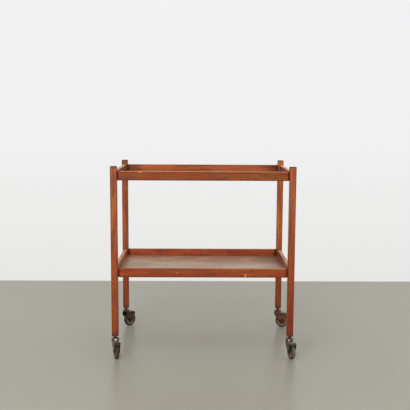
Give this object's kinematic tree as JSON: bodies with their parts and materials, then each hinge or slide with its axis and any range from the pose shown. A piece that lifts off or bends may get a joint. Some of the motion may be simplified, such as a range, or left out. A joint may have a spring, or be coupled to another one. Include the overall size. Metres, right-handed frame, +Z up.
{
  "type": "tea trolley",
  "caption": "Slim wooden tea trolley: railed upper and lower trays between square legs, on hooded ball-race swivel castors.",
  "frame": {"origin": "on the floor, midway between the four legs", "axes": "+Z up, +X to the right along the long side seen from the front, -Y towards the front"},
  "size_m": [0.6549, 0.4322, 0.657],
  "materials": {
    "teak_leg": "oiled satin",
    "teak_rail": "oiled satin",
    "teak_veneer": "worn satin",
    "bronzed_steel": "aged bronze lacquer",
    "bronzed_stem": "aged bronze lacquer",
    "plated_steel": "dull zinc",
    "rivet_steel": "worn",
    "ball_steel": "polished",
    "wheel_centre": "semi-matt",
    "tyre_rubber": "matt"
  },
  "bodies": {
    "frame": {"upper_tray_front_rail": "teak_rail", "upper_tray_rear_rail": "teak_rail", "upper_tray_left_rail": "teak_rail", "upper_tray_right_rail": "teak_rail", "upper_tray_panel": "teak_veneer", "lower_tray_front_rail": "teak_rail", "lower_tray_rear_rail": "teak_rail", "lower_tray_left_rail": "teak_rail", "lower_tray_right_rail": "teak_rail", "lower_tray_panel": "teak_veneer", "front_left_leg": "teak_leg", "front_left_castor_socket": "plated_steel", "front_left_castor_stem": "bronzed_stem", "front_left_castor_race_cap": "bronzed_steel", "front_left_castor_washer": "plated_steel", "front_right_leg": "teak_leg", "front_right_castor_socket": "plated_steel", "front_right_castor_stem": "bronzed_stem", "front_right_castor_race_cap": "bronzed_steel", "front_right_castor_washer": "plated_steel", "rear_left_leg": "teak_leg", "rear_left_castor_socket": "plated_steel", "rear_left_castor_stem": "bronzed_stem", "rear_left_castor_race_cap": "bronzed_steel", "rear_left_castor_washer": "plated_steel", "rear_right_leg": "teak_leg", "rear_right_castor_socket": "plated_steel", "rear_right_castor_stem": "bronzed_stem", "rear_right_castor_race_cap": "bronzed_steel", "rear_right_castor_washer": "plated_steel"},
    "front_left_fork": {"front_left_castor_horn": "bronzed_steel", "front_left_castor_axle": "rivet_steel", "front_left_castor_bush": "plated_steel"},
    "front_left_ball_ring": {"front_left_castor_balls": "ball_steel"},
    "front_left_roller": {"front_left_castor_wheel": "wheel_centre", "front_left_castor_tyre": "tyre_rubber"},
    "front_right_fork": {"front_right_castor_horn": "bronzed_steel", "front_right_castor_axle": "rivet_steel", "front_right_castor_bush": "plated_steel"},
    "front_right_ball_ring": {"front_right_castor_balls": "ball_steel"},
    "front_right_roller": {"front_right_castor_wheel": "wheel_centre", "front_right_castor_tyre": "tyre_rubber"},
    "rear_left_fork": {"rear_left_castor_horn": "bronzed_steel", "rear_left_castor_axle": "rivet_steel", "rear_left_castor_bush": "plated_steel"},
    "rear_left_ball_ring": {"rear_left_castor_balls": "ball_steel"},
    "rear_left_roller": {"rear_left_castor_wheel": "wheel_centre", "rear_left_castor_tyre": "tyre_rubber"},
    "rear_right_fork": {"rear_right_castor_horn": "bronzed_steel", "rear_right_castor_axle": "rivet_steel", "rear_right_castor_bush": "plated_steel"},
    "rear_right_ball_ring": {"rear_right_castor_balls": "ball_steel"},
    "rear_right_roller": {"rear_right_castor_wheel": "wheel_centre", "rear_right_castor_tyre": "tyre_rubber"}
  },
  "joints": [
    {"name": "front_left_swivel", "type": "hinge", "parent": "frame", "child": "front_left_fork", "pos_m": [-0.299, -0.179, 0.0647], "axis": [0, 0, 1], "continuous": true},
    {"name": "front_left_balls_circle", "type": "hinge", "parent": "frame", "child": "front_left_ball_ring", "pos_m": [-0.299, -0.179, 0.0647], "axis": [0, 0, 1], "continuous": true},
    {"name": "front_left_roll", "type": "hinge", "parent": "front_left_fork", "child": "front_left_roller", "pos_m": [-0.29375, -0.19517, 0.0255], "axis": [0.9511, 0.309, 0], "continuous": true},
    {"name": "front_right_swivel", "type": "hinge", "parent": "frame", "child": "front_right_fork", "pos_m": [0.299, -0.179, 0.0647], "axis": [0, 0, 1], "continuous": true},
    {"name": "front_right_balls_circle", "type": "hinge", "parent": "frame", "child": "front_right_ball_ring", "pos_m": [0.299, -0.179, 0.0647], "axis": [0, 0, 1], "continuous": true},
    {"name": "front_right_roll", "type": "hinge", "parent": "front_right_fork", "child": "front_right_roller", "pos_m": [0.30369, -0.19534, 0.0255], "axis": [0.9613, 0.2756, 0], "continuous": true},
    {"name": "rear_left_swivel", "type": "hinge", "parent": "frame", "child": "rear_left_fork", "pos_m": [-0.299, 0.179, 0.0647], "axis": [0, 0, 1], "continuous": true},
    {"name": "rear_left_balls_circle", "type": "hinge", "parent": "frame", "child": "rear_left_ball_ring", "pos_m": [-0.299, 0.179, 0.0647], "axis": [0, 0, 1], "continuous": true},
    {"name": "rear_left_roll", "type": "hinge", "parent": "rear_left_fork", "child": "rear_left_roller", "pos_m": [-0.28677, 0.19081, 0.0255], "axis": [-0.6947, 0.7193, 0], "continuous": true},
    {"name": "rear_right_swivel", "type": "hinge", "parent": "frame", "child": "rear_right_fork", "pos_m": [0.299, 0.179, 0.0647], "axis": [0, 0, 1], "continuous": true},
    {"name": "rear_right_balls_circle", "type": "hinge", "parent": "frame", "child": "rear_right_ball_ring", "pos_m": [0.299, 0.179, 0.0647], "axis": [0, 0, 1], "continuous": true},
    {"name": "rear_right_roll", "type": "hinge", "parent": "rear_right_fork", "child": "rear_right_roller", "pos_m": [0.31583, 0.17663, 0.0255], "axis": [0.1392, 0.9903, 0], "continuous": true}
  ],
  "couplings": [
    {"joint": "front_left_balls_circle", "follows": "front_left_swivel", "ratio": 0.5},
    {"joint": "front_right_balls_circle", "follows": "front_right_swivel", "ratio": 0.5},
    {"joint": "rear_left_balls_circle", "follows": "rear_left_swivel", "ratio": 0.5},
    {"joint": "rear_right_balls_circle", "follows": "rear_right_swivel", "ratio": 0.5}
  ]
}
